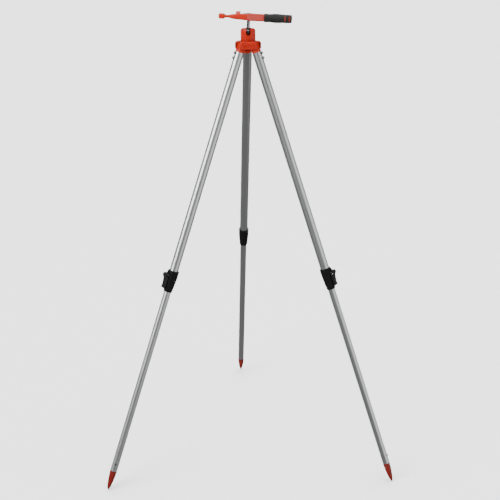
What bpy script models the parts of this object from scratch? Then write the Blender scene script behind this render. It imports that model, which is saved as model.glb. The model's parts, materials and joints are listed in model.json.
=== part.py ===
"""Torpedo laser level on a telescopic ball-head tripod.

Lengths are in millimetres until a mesh is made, where MM turns them into metres.
Up is +Z, the rear leg points to +Y, and the foot tips stand on Z = 0.
"""

import math

import bmesh
import bpy
from mathutils import Matrix, Vector

for old in list(bpy.data.objects):
    bpy.data.objects.remove(old, do_unlink=True)

MM = 0.001
GAP = 0.3
ROUND = 24
SMALL_ROUND = 14

# Legs, measured down each leg from its pivot.
LEG_LENGTH = 1346.0
LEG_SPREAD = math.radians(20.5)
UPPER_RADIUS = 12.5
LOWER_RADIUS = UPPER_RADIUS - 2.5
TUBE_WALL = 1.2
PIVOT_RADIUS = UPPER_RADIUS + 8.0
UPPER_START = UPPER_RADIUS + 7.8
LOCK_START = 657.0
LOCK_LENGTH = 63.0
LOCK_SHOULDER = 38.0
LOWER_START = 592.0
FOOT_LENGTH = 62.0
FOOT_PLUG = 33.0
FOOT_BOLT_UP = 24.0
PLUG_END = 70.0
SOCKET_BOLTS = (24.5, 38.5)

# Head casting, measured from the pivots.
KNUCKLE_RADIUS = 8.4
KNUCKLE_HALF = 10.5
CHEEK = 4.2
HEAD_END = PIVOT_RADIUS + 13.5
LUG_ROUND = 8.0
HEAD_BOTTOM = -9.0
HEAD_TOP = 11.6
PIN_RADIUS = 3.0
SPIGOT_HEIGHT = 5.0
HEAD_BORE = 5.0

# Ball joint.
BALL_RADIUS = 11.0
BALL_HEIGHT = BALL_RADIUS + 22.0
DOME_RADIUS = BALL_RADIUS + 9.6
DOME_SHOULDER = 7.0
DOME_TOP = BALL_HEIGHT + 12.7
STEM_RADIUS = 4.8
STEM_TIP_RADIUS = 2.7
SHANK_RADIUS = 3.2
SHANK_DEPTH = 4.0
STEM_LEAN = math.radians(2.6)
DOME_OPENING = STEM_RADIUS + 3.2
NOTCH_HALF = STEM_RADIUS + 1.2
CLAMP_RADIUS = 3.0

# Flip locks.
COLLAR_WALL = 3.6
LEVER_PIN_OUT = UPPER_RADIUS + COLLAR_WALL + 2.6
LEVER_PIN_DOWN = 14.0
LEVER_PIN_RADIUS = 1.5
EAR_INNER = 4.1
EAR_OUTER = 7.1
EAR_RADIUS = 5.4
CAM_RADIUS = 3.7
LEVER_HALF = 8.0

# Instrument, measured along its length from the stem.
AXIS_ABOVE_BALL = 41.5
BATTERY_RADIUS = 5.25
BODY_HALF_HEIGHT = BATTERY_RADIUS + 4.35
BODY_HALF_WIDTH = BODY_HALF_HEIGHT - 0.6
NECK_RADIUS = 3.7
NECK_END = -71.3
CAP_FRONT = -82.4
SHOULDER = 41.5
SLEEVE_RADIUS = BATTERY_RADIUS + 2.55
SLEEVE_END = 114.0
BATTERY_LENGTH = 44.1
BATTERY_START = 15.9
BUTTON_FROM = -35.4
BUTTON_TO = -22.9
BUTTON_HALF = 3.2
BUTTON_TOP = 14.6
BUTTON_FOOT = 4.6
COVER_FROM = BUTTON_TO + 1.3
COVER_TO = SHOULDER - 2.7
COVER_HALF = 4.0
WINDOW = (1.0, 13.0)
WINDOW_HALF = 1.6
PANEL_FROM = -5.5
PANEL_TO = SHOULDER - 1.7
PANEL_HALF = 6.6
PANEL_DEPTH = 1.1
VIAL_RADIUS = 1.9
VIAL_FROM = -3.0
VIAL_TO = 15.4
MODULE_FROM = -17.0
MODULE_TO = 8.0
BOARD = ((-40.0, -18.0), (-3.3, 3.3), (2.2, 3.2))
INSERT_RADIUS = 4.0
INSERT_TOP = -4.4
LENS_RADIUS = 3.9
GRIP_RADIUS = BODY_HALF_HEIGHT + 1.6
BAND_OUTER = GRIP_RADIUS - 0.7
BAND_THICKNESS = 0.6
BAND_WINDOW_HALF = 7.0
BANDS = (("front", 96.2, 100.6), ("rear", 108.4, 113.0))

# Outline of a lock lever from its pin: outwards, and up the leg.
LEVER_OUTLINE = ((4.4, 5.0), (7.0, 3.4), (8.8, 0.4), (9.3, -3.0), (8.8, -4.4), (6.2, -7.5), (4.0, -12))
LEVER_OUTLINE += ((2.8, -20), (2.0, -28), (2.0, -34), (3.0, -38), (2.4, -39.6), (0.2, -39.4), (-1.9, -33))
LEVER_OUTLINE += ((-2.4, -26), (-2.3, -18), (-2.1, -9.4), (-0.5, -7.4), (3.0, -5.4), (5.1, -2.8), (5.9, 0.4))
LEVER_OUTLINE += ((4.1, 4.3),)

# The front feet bulge past their tips, so the middle of the whole is a little off the quarter point.
BOX_TRIM = 0.88
FOOT_RADIUS = PIVOT_RADIUS + LEG_LENGTH * math.sin(LEG_SPREAD)
PIVOT_HEIGHT = LEG_LENGTH * math.cos(LEG_SPREAD)
HEAD_Y = -FOOT_RADIUS / 4 + BOX_TRIM

# Each station of a foot point: its share of the radius, and of the length from the tip.
OGIVE = ((0.15, 0.01), (0.33, 0.09), (0.52, 0.21), (0.73, 0.42), (0.88, 0.63), (0.98, 0.86), (1.0, 0.98))

LEGS = (("rear", 90.0, 0.0), ("left", 210.0, 60.0), ("right", 330.0, 0.0))


def paint(name, colour, roughness, metallic=0.0, transmission=0.0):
    made = bpy.data.materials.get(name)
    if made:
        return made
    made = bpy.data.materials.new(name)
    made.use_nodes = True
    made.diffuse_color = (*colour, 1)
    shader = made.node_tree.nodes["Principled BSDF"]
    shader.inputs["Base Color"].default_value = (*colour, 1)
    shader.inputs["Roughness"].default_value = roughness
    shader.inputs["Metallic"].default_value = metallic
    shader.inputs["Transmission Weight"].default_value = transmission
    return made


ORANGE = ((0.62, 0.075, 0.022), 0.38, 0.0)
BLACK = ((0.02, 0.02, 0.02), 0.45, 0.0)
RUBBER = ((0.035, 0.035, 0.032), 0.75, 0.0)
ALUMINIUM = ((0.72, 0.73, 0.74), 0.32, 1.0)
CHROME = ((0.80, 0.80, 0.82), 0.12, 1.0)
STEEL = ((0.45, 0.45, 0.46), 0.35, 1.0)
BRASS = ((0.72, 0.50, 0.20), 0.30, 1.0)
SILVER = ((0.55, 0.55, 0.54), 0.30, 1.0)
PANEL = ((0.52, 0.11, 0.10), 0.35, 0.0)
BUTTON_RED = ((0.50, 0.12, 0.12), 0.45, 0.0)
BAND_RED = ((0.30, 0.06, 0.04), 0.5, 0.0)
CLEAR = ((0.75, 0.95, 0.60), 0.05, 0.0, 0.9)
GLASS = ((0.90, 0.92, 0.95), 0.03, 0.0, 0.95)
GREEN = ((0.02, 0.20, 0.07), 0.5, 0.0)
PLASTIC_WHITE = ((0.75, 0.75, 0.72), 0.5, 0.0)


def frame(name, parent, matrix):
    made = bpy.data.objects.new(name, None)
    bpy.context.collection.objects.link(made)
    made.empty_display_size = 0.02
    made.parent = parent
    shifted = matrix.copy()
    shifted.translation = matrix.translation * MM
    made.matrix_basis = shifted
    return made


def solid(name, bm, parent, look=None, matrix=None):
    """An object made of bm. Without a look it is a hidden tool for a Boolean."""
    if matrix is not None:
        bmesh.ops.transform(bm, matrix=matrix, verts=bm.verts)
    bmesh.ops.scale(bm, vec=(MM, MM, MM), verts=bm.verts)
    bmesh.ops.recalc_face_normals(bm, faces=bm.faces)
    mesh = bpy.data.meshes.new(name)
    bm.to_mesh(mesh)
    bm.free()
    mesh.shade_smooth()
    mesh.set_sharp_from_angle(angle=math.radians(38))
    made = bpy.data.objects.new(name, mesh)
    bpy.context.collection.objects.link(made)
    made.parent = parent
    if look is None:
        made.hide_render = True
        made.display_type = "WIRE"
    else:
        mesh.materials.append(paint(name + "_material", *look))
    return made


def combine(target, tool, operation="DIFFERENCE"):
    step = target.modifiers.new(operation.lower(), "BOOLEAN")
    step.operation = operation
    step.solver = "EXACT"
    step.object = tool


def rounded(target, width, segments=2):
    step = target.modifiers.new("bevel", "BEVEL")
    step.width = width * MM
    step.segments = segments
    step.limit_method = "ANGLE"
    step.angle_limit = math.radians(35)


def lathe(profile, segments=ROUND, ring=False):
    """Turns (radius, height) points about Z. A ring profile closes on itself instead of on the axis."""
    bm = bmesh.new()
    turns = []
    for radius, height in profile:
        if radius == 0:
            turns.append([bm.verts.new((0, 0, height))])
            continue
        steps = [2 * math.pi * i / segments for i in range(segments)]
        turns.append([bm.verts.new((radius * math.cos(a), radius * math.sin(a), height)) for a in steps])
    following = turns[1:] + turns[:1] if ring else turns[1:]
    for low, high in zip(turns, following):
        for i in range(segments):
            j = (i + 1) % segments
            corners = [low[i % len(low)], low[j % len(low)], high[j % len(high)], high[i % len(high)]]
            bm.faces.new(list(dict.fromkeys(corners)))
    return bm


def prism(outline, low, high, along="Z"):
    """Extrudes an outline: (x, y) along Z, or (x, z) along Y."""
    bm = bmesh.new()
    ends = []
    for level in (low, high):
        if along == "Z":
            ends.append([bm.verts.new((a, b, level)) for a, b in outline])
        else:
            ends.append([bm.verts.new((a, level, b)) for a, b in outline])
    count = len(outline)
    for i in range(count):
        j = (i + 1) % count
        bm.faces.new((ends[0][i], ends[0][j], ends[1][j], ends[1][i]))
    bm.faces.new(ends[0])
    bm.faces.new(ends[1])
    return bm


def box(x, y, z):
    return prism(((x[0], y[0]), (x[1], y[0]), (x[1], y[1]), (x[0], y[1])), z[0], z[1])


def loft(stations, segments=ROUND):
    """Joins rings across X, each (x, half height, half width, squareness), and closes both ends."""
    bm = bmesh.new()
    turns = []
    for x, high, wide, power in stations:
        ring = []
        for i in range(segments):
            a = 2 * math.pi * (i + 0.5) / segments
            y = wide * math.copysign(abs(math.cos(a)) ** (2 / power), math.cos(a))
            z = high * math.copysign(abs(math.sin(a)) ** (2 / power), math.sin(a))
            ring.append(bm.verts.new((x, y, z)))
        turns.append(ring)
    for low, far in zip(turns, turns[1:]):
        for i in range(segments):
            j = (i + 1) % segments
            bm.faces.new((low[i], low[j], far[j], far[i]))
    bm.faces.new(turns[0])
    bm.faces.new(turns[-1])
    return bm


def arc(centre, radius, start, end, steps):
    """Points round a centre, between two angles in degrees."""
    found = []
    for i in range(steps + 1):
        a = math.radians(start + (end - start) * i / steps)
        found.append((centre[0] + radius * math.cos(a), centre[1] + radius * math.sin(a)))
    return found


def bar(radius, low, high, segments=SMALL_ROUND):
    return lathe(((0, low), (radius, low), (radius, high), (0, high)), segments)


def turned(degrees, axis):
    return Matrix.Rotation(math.radians(degrees), 4, axis)


def moved(x, y, z):
    return Matrix.Translation((x, y, z))


ALONG_X = turned(90, "Y")
ALONG_Y = turned(-90, "X")

head_frame = frame("head_frame", None, moved(0, HEAD_Y, PIVOT_HEIGHT))

# ---------------------------------------------------------------- head casting
half_lug = KNUCKLE_HALF + GAP + CHEEK
plan = []
for _, azimuth, _ in LEGS:
    out = Vector((math.cos(math.radians(azimuth)), math.sin(math.radians(azimuth))))
    side = Vector((-out.y, out.x))
    plan.append(tuple(out * HEAD_END - side * half_lug))
    plan.append(tuple(out * HEAD_END + side * half_lug))
tripod_head = solid("tripod_head", prism(plan, HEAD_BOTTOM, HEAD_TOP), head_frame, ORANGE)
rounded(tripod_head, 2.5, 3)

spigot = solid("spigot_tool", bar(BALL_RADIUS, HEAD_TOP - 3, HEAD_TOP + SPIGOT_HEIGHT, ROUND), head_frame)
combine(tripod_head, spigot, "UNION")

slot_inner = PIVOT_RADIUS - KNUCKLE_RADIUS - GAP - 0.2
groove_face = HEAD_END / 2 + half_lug * math.sin(math.radians(60))
groove_half = HEAD_END * math.sin(math.radians(60)) - half_lug / 2 - 4
lug_line = arc((HEAD_END + 0.1 - LUG_ROUND, HEAD_TOP + 0.1 - LUG_ROUND), LUG_ROUND, -5, 95, 7)
lug_line += [(lug_line[-1][0], HEAD_TOP + 5), (HEAD_END + 5, HEAD_TOP + 5), (HEAD_END + 5, lug_line[0][1])]
for leg_name, azimuth, _ in LEGS:
    spin = turned(azimuth, "Z")
    lug_shape = prism(lug_line, -half_lug - 3, half_lug + 3, "Y")
    combine(tripod_head, solid(leg_name + "_lug_tool", lug_shape, head_frame, None, spin))
    slot_shape = box(
        (slot_inner, HEAD_END + 10),
        (-KNUCKLE_HALF - GAP, KNUCKLE_HALF + GAP),
        (HEAD_BOTTOM - 5, KNUCKLE_RADIUS + GAP),
    )
    combine(tripod_head, solid(leg_name + "_slot_tool", slot_shape, head_frame, None, spin))
    pin_room = PIN_RADIUS + GAP
    seat_line = arc((PIVOT_RADIUS, 0), pin_room, 0, 180, 8)
    seat_line += [(PIVOT_RADIUS - pin_room, HEAD_BOTTOM - 5), (PIVOT_RADIUS + pin_room, HEAD_BOTTOM - 5)]
    seat_shape = prism(seat_line, GAP - half_lug, half_lug - GAP, "Y")
    combine(tripod_head, solid(leg_name + "_pin_seat_tool", seat_shape, head_frame, None, spin))
    groove_shape = box((groove_face - 1, groove_face + 5), (-groove_half, groove_half), (-4.2, -1.8))
    groove_turn = turned(azimuth + 180, "Z")
    combine(tripod_head, solid(leg_name + "_groove_tool", groove_shape, head_frame, None, groove_turn))
bore = solid("head_bore_tool", bar(HEAD_BORE, HEAD_BOTTOM - 5, HEAD_TOP - 5), head_frame)
combine(tripod_head, bore)

# ------------------------------------------------------------------ ball joint
dome_bore = BALL_RADIUS + GAP
dome_base = HEAD_TOP + GAP
opening_angle = math.degrees(math.acos(DOME_OPENING / dome_bore))
dome_side = DOME_TOP - DOME_SHOULDER
dome_line = [(dome_bore, dome_base), (DOME_RADIUS, dome_base), (DOME_RADIUS, dome_side)]
dome_line += arc((DOME_RADIUS - DOME_SHOULDER, dome_side), DOME_SHOULDER, 22, 90, 4)
dome_line += [(DOME_OPENING + 0.6, DOME_TOP), (DOME_OPENING, DOME_TOP - 0.6)]
dome_line += arc((0, BALL_HEIGHT), dome_bore, opening_angle, 0, 4)
ball_housing = solid("ball_housing", lathe(dome_line, 32, True), head_frame, ORANGE)
notch_line = arc((0, BALL_HEIGHT), NOTCH_HALF, 180, 360, 8)
notch_line += [(NOTCH_HALF, DOME_TOP + 10), (-NOTCH_HALF, DOME_TOP + 10)]
notch = solid("notch_tool", prism(notch_line, -DOME_RADIUS - 10, 0, "Y"), head_frame)
combine(ball_housing, notch)
clamp_hole = bar(CLAMP_RADIUS + GAP, 3, DOME_RADIUS + 5)
clamp_place = moved(0, 0, BALL_HEIGHT) @ ALONG_Y
combine(ball_housing, solid("clamp_hole_tool", clamp_hole, head_frame, None, clamp_place))

seat_bottom = HEAD_TOP + SPIGOT_HEIGHT + GAP
seat_top = BALL_HEIGHT - NOTCH_HALF
seat_radius = dome_bore - 0.5
cup_start = -math.degrees(math.asin(NOTCH_HALF / dome_bore))
cup = arc((0, BALL_HEIGHT), dome_bore, cup_start, -90, 5)[:-1]
seat_line = [(0, seat_bottom), (seat_radius, seat_bottom), (seat_radius, seat_top)]
seat_line += cup + [(0, BALL_HEIGHT - dome_bore)]
solid("ball_seat", lathe(seat_line), head_frame, PLASTIC_WHITE)

clamp_frame = frame("clamp_knob_frame", head_frame, moved(0, DOME_RADIUS, BALL_HEIGHT) @ ALONG_Y)
lobes = []
for i in range(36):
    reach = 10.6 + 0.9 * math.cos(math.radians(60 * i))
    lobes.append((reach * math.cos(math.radians(10 * i)), reach * math.sin(math.radians(10 * i))))
clamp_knob = solid("clamp_knob", prism(lobes, 4, 14), clamp_frame, BLACK)
rounded(clamp_knob, 1.2)
shank = solid("clamp_shank_tool", bar(CLAMP_RADIUS, BALL_RADIUS + 0.4 - DOME_RADIUS, 8), clamp_frame)
combine(clamp_knob, shank, "UNION")

# ------------------------------------------------------------------------ legs
tube_bore = UPPER_RADIUS - TUBE_WALL
lower_bore = LOWER_RADIUS - TUBE_WALL
collar_bore = UPPER_RADIUS + GAP
throat = LOWER_RADIUS + GAP
foot_start = LEG_LENGTH - FOOT_LENGTH
upper_end = LOCK_START + LOCK_SHOULDER


def bolt(name, parent, place, surface, shank_radius, head_radius, head_height):
    line = ((0, 4), (shank_radius, 4), (shank_radius, surface + GAP), (head_radius, surface + GAP))
    line += ((head_radius, surface + GAP + 0.6 * head_height),)
    line += ((0.6 * head_radius, surface + GAP + head_height), (0, surface + GAP + head_height))
    return solid(name, lathe(line, SMALL_ROUND), parent, STEEL, place)


def knuckle_outline():
    """The heel on the outer side meets the roof of the head when the leg is fully open."""
    heel = Vector((KNUCKLE_RADIUS, KNUCKLE_RADIUS))
    c = math.cos(LEG_SPREAD)
    s = math.sin(LEG_SPREAD)
    heel_at = (heel.x * c + heel.y * s, heel.y * c - heel.x * s)
    line = [(-KNUCKLE_RADIUS, -16)]
    line += arc((0, 0), KNUCKLE_RADIUS, 180, 90 - math.degrees(LEG_SPREAD), 8)
    line += [heel_at, (KNUCKLE_RADIUS * c, -KNUCKLE_RADIUS * s), (KNUCKLE_RADIUS, -16)]
    return line


def build_leg(side, azimuth, bolt_turn):
    place = turned(azimuth, "Z") @ moved(PIVOT_RADIUS, 0, 0) @ Matrix.Rotation(-LEG_SPREAD, 4, "Y")
    leg = frame(side + "_leg_frame", head_frame, place)
    pin_half = half_lug - 2 * GAP
    pin_place = turned(azimuth, "Z") @ moved(PIVOT_RADIUS, 0, 0) @ ALONG_Y
    solid(side + "_pivot_pin", bar(PIN_RADIUS, -pin_half, pin_half), head_frame, STEEL, pin_place)

    plug_radius = tube_bore - GAP
    plug_line = ((0, -PLUG_END), (plug_radius - 1, -PLUG_END), (plug_radius, 1 - PLUG_END))
    plug_line += ((plug_radius, -UPPER_START + GAP), (UPPER_RADIUS, -UPPER_START + GAP))
    plug_line += ((UPPER_RADIUS, -14.5), (UPPER_RADIUS - 0.8, -13.7), (0, -13.7))
    socket = solid(side + "_leg_socket", lathe(plug_line), leg, ORANGE)
    knuckle = prism(knuckle_outline(), -KNUCKLE_HALF, KNUCKLE_HALF, "Y")
    combine(socket, solid(side + "_knuckle_tool", knuckle, leg), "UNION")
    pin_hole = bar(PIN_RADIUS + GAP, -2 * KNUCKLE_HALF, 2 * KNUCKLE_HALF)
    combine(socket, solid(side + "_pin_hole_tool", pin_hole, leg, None, ALONG_Y))

    tube_line = ((tube_bore, -UPPER_START), (UPPER_RADIUS, -UPPER_START), (UPPER_RADIUS, -upper_end))
    tube_line += ((tube_bore, -upper_end),)
    upper = solid(side + "_upper_tube", lathe(tube_line, ROUND, True), leg, ALUMINIUM)
    for label, down in zip(("upper", "lower"), SOCKET_BOLTS):
        at = moved(0, 0, -down) @ ALONG_X
        hole = solid(f"{side}_{label}_bolt_hole_tool", bar(2.3, 3.5, 25), leg, None, at)
        combine(socket, hole)
        combine(upper, hole)
        bolt(f"{side}_socket_bolt_{label}", leg, at, UPPER_RADIUS, 2.0, 3.8, 4.6)

    build_lock(side, leg)

    lower_line = ((lower_bore, -LOWER_START), (LOWER_RADIUS, -LOWER_START), (LOWER_RADIUS, -foot_start))
    lower_line += ((lower_bore, -foot_start),)
    lower = solid(side + "_lower_tube", lathe(lower_line, ROUND, True), leg, ALUMINIUM)
    bush_plug = lower_bore - GAP
    bush_top = GAP - LOWER_START
    bush_line = ((0, bush_top - 15), (bush_plug, bush_top - 15), (bush_plug, bush_top))
    bush_line += ((plug_radius, bush_top), (plug_radius, bush_top + 7), (plug_radius - 1, bush_top + 8))
    bush_line += ((0, bush_top + 8),)
    solid(side + "_slide_bush", lathe(bush_line), leg, BLACK)

    tip_line = [(0, -LEG_LENGTH)]
    for share, along in OGIVE:
        tip_line.append(((LOWER_RADIUS + GAP) * share, along * FOOT_LENGTH - LEG_LENGTH))
    tip_line += [(LOWER_RADIUS, -foot_start - GAP), (bush_plug, -foot_start - GAP)]
    tip_line += [(bush_plug, FOOT_PLUG - foot_start), (0, FOOT_PLUG - foot_start)]
    foot = solid(side + "_foot_point", lathe(tip_line), leg, ORANGE)
    at = moved(0, 0, FOOT_BOLT_UP - foot_start) @ turned(bolt_turn, "Z") @ ALONG_X
    hole = solid(side + "_foot_hole_tool", bar(1.9, 3.5, 25), leg, None, at)
    combine(foot, hole)
    combine(lower, hole)
    bolt(side + "_foot_bolt", leg, at, LOWER_RADIUS, 1.6, 3.2, 2.2)


def build_lock(side, leg):
    pin_z = -(LOCK_START + LEVER_PIN_DOWN)
    wall = UPPER_RADIUS + COLLAR_WALL
    outer = ((wall - 0.4, 0), (wall, 1.5), (wall, 4.5), (wall - 0.4, 8), (wall - 1.2, 30))
    outer += ((LOWER_RADIUS + 3.6, 50), (LOWER_RADIUS + 2.0, LOCK_LENGTH))
    line = [(radius, -LOCK_START - down) for radius, down in outer]
    line += [(throat, -LOCK_START - LOCK_LENGTH), (throat, -upper_end - GAP)]
    line += [(collar_bore, -upper_end - GAP), (collar_bore, -LOCK_START)]
    collar = solid(side + "_lock_collar", lathe(line, ROUND, True), leg, BLACK)
    ear = [(UPPER_RADIUS + 0.4, pin_z + 12), (wall, pin_z + 10.5)]
    ear += arc((LEVER_PIN_OUT, pin_z), EAR_RADIUS, 115, -115, 10) + [(UPPER_RADIUS + 0.4, pin_z - 10)]
    for label, low, high in (("a", EAR_INNER, EAR_OUTER), ("b", -EAR_OUTER, -EAR_INNER)):
        combine(collar, solid(f"{side}_ear_{label}_tool", prism(ear, low, high, "Y"), leg), "UNION")
    window_half = EAR_INNER - 0.5
    window = box((UPPER_RADIUS - 4, LEVER_PIN_OUT), (-window_half, window_half), (pin_z - 7, pin_z + 7))
    combine(collar, solid(side + "_window_tool", window, leg))
    pin_at = moved(LEVER_PIN_OUT, 0, pin_z) @ ALONG_Y
    hole = solid(side + "_lever_hole_tool", bar(LEVER_PIN_RADIUS + GAP, -20, 20, 12), leg, None, pin_at)
    combine(collar, hole)
    pin_half = EAR_OUTER + 0.2
    solid(side + "_lever_pin", bar(LEVER_PIN_RADIUS, -pin_half, pin_half, 12), leg, STEEL, pin_at)

    pivot = frame(side + "_lever_frame", leg, moved(LEVER_PIN_OUT, 0, pin_z))
    lever = solid(side + "_lock_lever", prism(LEVER_OUTLINE, -LEVER_HALF, LEVER_HALF, "Y"), pivot, BLACK)
    cam = arc((0, 0), CAM_RADIUS, 90, 270, 8) + [(6.2, -4.4), (6.8, 1.8)]
    cam_half = EAR_INNER - GAP
    combine(lever, solid(side + "_cam_tool", prism(cam, -cam_half, cam_half, "Y"), pivot), "UNION")
    combine(lever, hole)


for leg_name, azimuth, bolt_turn in LEGS:
    build_leg(leg_name, azimuth, bolt_turn)

# ------------------------------------------------------------- stud and swivel
stud_frame = frame("ball_frame", head_frame, moved(0, 0, BALL_HEIGHT) @ Matrix.Rotation(STEM_LEAN, 4, "Y"))
stem_top = AXIS_ABOVE_BALL - BODY_HALF_HEIGHT - GAP
tip_top = AXIS_ABOVE_BALL + INSERT_TOP - 0.4
meets = math.acos(STEM_RADIUS / BALL_RADIUS)
ball_flat = BALL_RADIUS * math.sin(meets)
ball_line = [(0, -BALL_RADIUS)] + arc((0, 0), BALL_RADIUS, -75, math.degrees(meets), 9)
ball_line += [(SHANK_RADIUS + GAP, ball_flat), (SHANK_RADIUS + GAP, -SHANK_DEPTH), (0, -SHANK_DEPTH)]
solid("ball", lathe(ball_line), stud_frame, BLACK)
stem_line = [(0, GAP - SHANK_DEPTH), (SHANK_RADIUS, GAP - SHANK_DEPTH), (SHANK_RADIUS, ball_flat + GAP)]
stem_line += [(STEM_RADIUS, ball_flat + GAP), (STEM_RADIUS, stem_top - 0.5), (STEM_RADIUS - 0.5, stem_top)]
stem_line += [(STEM_TIP_RADIUS, stem_top), (STEM_TIP_RADIUS, tip_top - 0.6), (STEM_TIP_RADIUS - 0.6, tip_top)]
stem_line += [(0, tip_top)]
solid("ball_stem", lathe(stem_line), stud_frame, CHROME)

body = frame("instrument_frame", stud_frame, moved(0, 0, AXIS_ABOVE_BALL))

# ---------------------------------------------------------------- instrument
casing_line = [
    (NECK_END, NECK_RADIUS - 0.3, NECK_RADIUS - 0.3, 2),
    (-63.5, NECK_RADIUS - 0.3, NECK_RADIUS - 0.3, 2),
    (-58, NECK_RADIUS, NECK_RADIUS, 2),
    (-53, NECK_RADIUS + 0.6, NECK_RADIUS + 0.6, 2),
    (-48, 5.4, 5.3, 2),
    (-41.5, 6.9, 6.7, 2.1),
    (-30, 7.7, 7.4, 2.2),
    (-15, BODY_HALF_HEIGHT - 1.3, BODY_HALF_WIDTH - 0.8, 2.6),
    (-6, BODY_HALF_HEIGHT - 0.6, BODY_HALF_WIDTH - 0.1, 3.8),
    (1, BODY_HALF_HEIGHT - 0.1, BODY_HALF_WIDTH, 4),
    (8, BODY_HALF_HEIGHT, BODY_HALF_WIDTH, 4),
    (SHOULDER, BODY_HALF_HEIGHT, BODY_HALF_WIDTH, 4),
    (SHOULDER + 0.05, SLEEVE_RADIUS, SLEEVE_RADIUS, 2),
    (SLEEVE_END, SLEEVE_RADIUS, SLEEVE_RADIUS, 2),
]
battery_bore = BATTERY_RADIUS + 0.35
battery_end = BATTERY_START + 2 * BATTERY_LENGTH + GAP
plug_bore = BATTERY_RADIUS + 1.05
room = [(0, NECK_END - 3), (1.3, NECK_END - 3), (1.3, -41.5), (4.9, -41), (4.9, -16), (5.6, -15.5)]
room += [(5.6, -4.5), (6.6, -4), (6.6, BATTERY_START - 1), (battery_bore, BATTERY_START - 0.5)]
room += [(battery_bore, battery_end + 1)]
room += [(plug_bore, battery_end + 1.3), (plug_bore, SLEEVE_END + 5), (0, SLEEVE_END + 5)]
room_tool = solid("casing_room_tool", lathe(room), body, None, ALONG_X)

cover_low = BODY_HALF_HEIGHT - 1.2
cover_flat = BODY_HALF_HEIGHT + 0.5
cover_line = ((COVER_FROM, 6.5), (-15, 6.7), (-2, cover_low), (COVER_TO, cover_low), (COVER_TO, cover_flat))
cover_line += ((9, cover_flat), (3, cover_flat + 1.2), (-4, cover_flat + 0.9))
cover_line += ((-12, 9.5), (COVER_FROM, 8.5))
recess_line = ((COVER_FROM - GAP, 6.5 - GAP), (-15, 6.7 - GAP), (-2, cover_low - GAP))
recess_line += ((COVER_TO + GAP, cover_low - GAP), (COVER_TO + GAP, BODY_HALF_HEIGHT + 9))
recess_line += ((COVER_FROM - GAP, BODY_HALF_HEIGHT + 9),)
recess_half = COVER_HALF + GAP
recess_tool = solid("cover_recess_tool", prism(recess_line, -recess_half, recess_half, "Y"), body)
pocket_half = VIAL_RADIUS + 0.5
pocket = box((VIAL_FROM - 1.4, VIAL_TO + 1), (-pocket_half, pocket_half), (4, BODY_HALF_HEIGHT + 5))
pocket_tool = solid("vial_pocket_tool", pocket, body)
button_room = box(
    (BUTTON_FROM - GAP, BUTTON_TO + GAP),
    (-BUTTON_HALF - GAP, BUTTON_HALF + GAP),
    (BUTTON_FOOT - 1.7, BUTTON_TOP + 9),
)
button_tool = solid("button_hole_tool", button_room, body)
insert_tool = solid("insert_hole_tool", bar(INSERT_RADIUS + GAP, -BODY_HALF_HEIGHT - 5, -4, ROUND), body)
panel_back = PANEL_DEPTH - BODY_HALF_WIDTH
panel_recess = box(
    (PANEL_FROM - GAP, PANEL_TO + GAP),
    (-BODY_HALF_WIDTH - 5, panel_back + GAP),
    (-PANEL_HALF - GAP, PANEL_HALF + GAP),
)
panel_tool = solid("panel_recess_tool", panel_recess, body)

reach = BODY_HALF_WIDTH + 10
for label, low, high in (("front", -GAP / 2, reach), ("rear", -reach, GAP / 2)):
    half = solid(f"casing_{label}_half", loft(casing_line), body, ORANGE)
    away = box((NECK_END - 10, SLEEVE_END + 10), (low, high), (-BODY_HALF_HEIGHT - 9, BODY_HALF_HEIGHT + 9))
    combine(half, solid(f"{label}_split_tool", away, body))
    for tool in (recess_tool, button_tool, room_tool, pocket_tool, insert_tool):
        combine(half, tool)
    if label == "front":
        combine(half, panel_tool)

cap_line = [(NECK_RADIUS, NECK_END + 7.3), (5.2, NECK_END + 7.3), (6.5, -66), (7.3, -70), (7.4, -75)]
cap_line += [(7.1, -79.1), (6.2, -81.5), (5.2, CAP_FRONT), (LENS_RADIUS + GAP, CAP_FRONT)]
cap_line += [(LENS_RADIUS + GAP, CAP_FRONT + 2.7), (1.5, CAP_FRONT + 2.7)]
cap_line += [(1.5, NECK_END - GAP), (NECK_RADIUS, NECK_END - GAP)]
solid("aperture_cap", lathe(cap_line, ROUND, True), body, ORANGE, ALONG_X)
solid("front_lens", bar(LENS_RADIUS, CAP_FRONT + 0.5, CAP_FRONT + 2.4, 18), body, GLASS, ALONG_X)
module = ((0, MODULE_FROM), (2.4, MODULE_FROM), (2.4, MODULE_FROM + 3), (4.0, MODULE_FROM + 3))
module += ((4.0, MODULE_TO), (0, MODULE_TO))
solid("laser_module", lathe(module, 18), body, BRASS, ALONG_X)
solid("circuit_board", box(*BOARD), body, GREEN)
vial = ((0, VIAL_FROM), (VIAL_RADIUS - 0.6, VIAL_FROM + 0.4), (VIAL_RADIUS, VIAL_FROM + 1.4))
vial += ((VIAL_RADIUS, VIAL_TO - 1.4), (VIAL_RADIUS - 0.6, VIAL_TO - 0.4), (0, VIAL_TO))
vial_height = cover_low - VIAL_RADIUS - GAP
solid("bubble_vial", lathe(vial, 16), body, CLEAR, moved(0, 0, vial_height) @ ALONG_X)
vial_cover = solid("vial_cover", prism(cover_line, -COVER_HALF, COVER_HALF, "Y"), body, SILVER)
window = box(WINDOW, (-WINDOW_HALF, WINDOW_HALF), (0, BODY_HALF_HEIGHT + 9))
window_tool = solid("cover_window_tool", window, body)
combine(vial_cover, window_tool)
panel_shape = box((PANEL_FROM, PANEL_TO), (-BODY_HALF_WIDTH - 0.15, panel_back), (-PANEL_HALF, PANEL_HALF))
side_panel = solid("side_panel", panel_shape, body, PANEL)
rounded(side_panel, 0.4, 2)

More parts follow.
